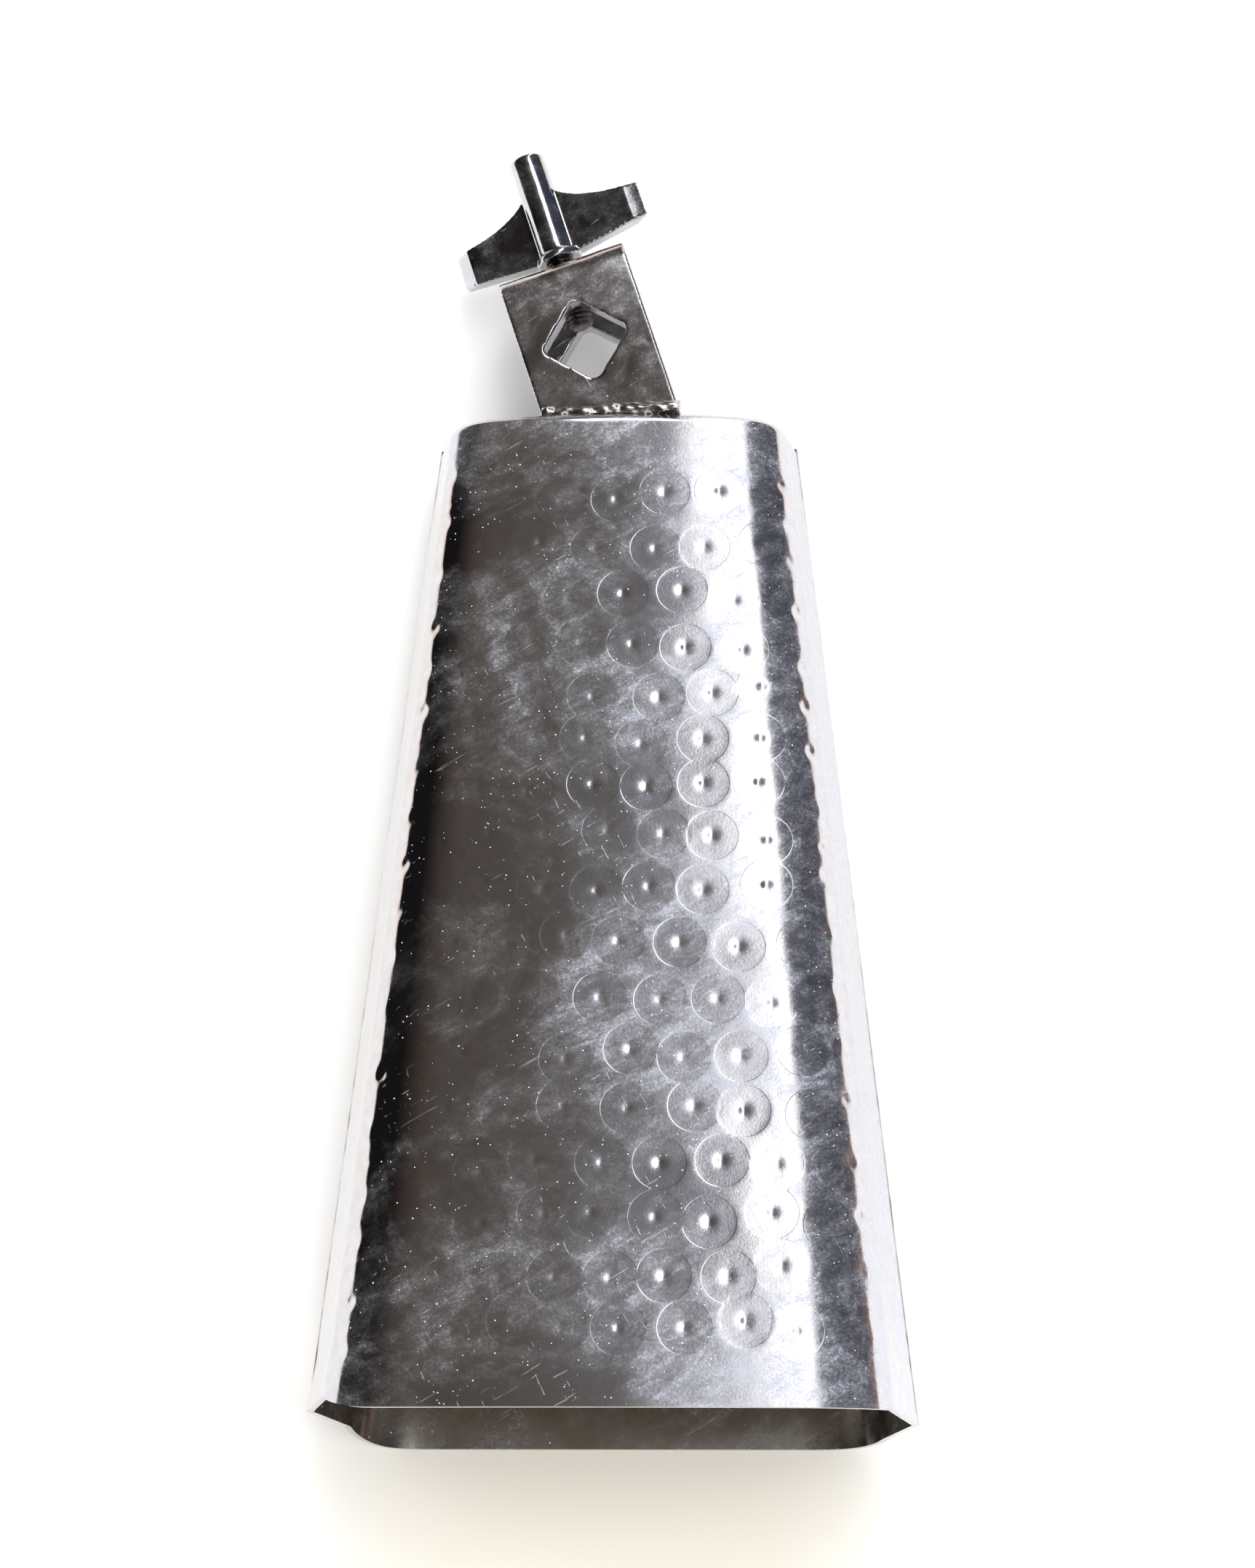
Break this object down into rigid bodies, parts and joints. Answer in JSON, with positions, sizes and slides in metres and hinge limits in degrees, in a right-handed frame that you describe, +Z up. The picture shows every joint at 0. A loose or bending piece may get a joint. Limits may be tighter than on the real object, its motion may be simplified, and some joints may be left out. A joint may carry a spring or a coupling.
{
  "type": "cowbell",
  "caption": "Hammered chromed steel cowbell, a flat tapered bell open at the mouth, with a U-strap mounting bracket on its crown, a cornerwise square rod hole and a wing screw.",
  "frame": {"origin": "bottom centre of the whole object's box, with the bell lying on its flat rear panel", "axes": "+Y from the mouth to the crown and bracket, +Z up out of the front panel, +X to the right seen from the mouth"},
  "size_m": [0.116, 0.267, 0.0559],
  "materials": {
    "bell_plate": "bright plated, hammered",
    "weld_metal": "bright plated over a weld bead",
    "bracket_plate": "bright plated, slightly grained",
    "stud_steel": "plated thread",
    "handle_chrome": "bright plated die casting"
  },
  "bodies": {
    "bell": {"front_shell": "bell_plate", "rear_shell": "bell_plate", "left_seam_weld": "weld_metal", "right_seam_weld": "weld_metal", "crown_seam_weld": "weld_metal", "bracket_strap": "bracket_plate", "front_foot_weld": "weld_metal", "rear_foot_weld": "weld_metal"},
    "screw": {"threaded_stud": "stud_steel"},
    "wing": {"wing_handle": "handle_chrome"}
  },
  "joints": [
    {"name": "screw_travel", "type": "slide", "parent": "bell", "child": "screw", "axis": [-0.3057, 0.9521, 0], "range_m": [-0.002, 0.008]},
    {"name": "wing_turn", "type": "hinge", "parent": "screw", "child": "wing", "pos_m": [-0.01146, 0.10681, 0.01694], "axis": [-0.3057, 0.9521, 0], "range_deg": [-721, 2882]}
  ],
  "couplings": [
    {"joint": "wing_turn", "follows": "screw_travel", "rad_per_m": 6283.2}
  ]
}
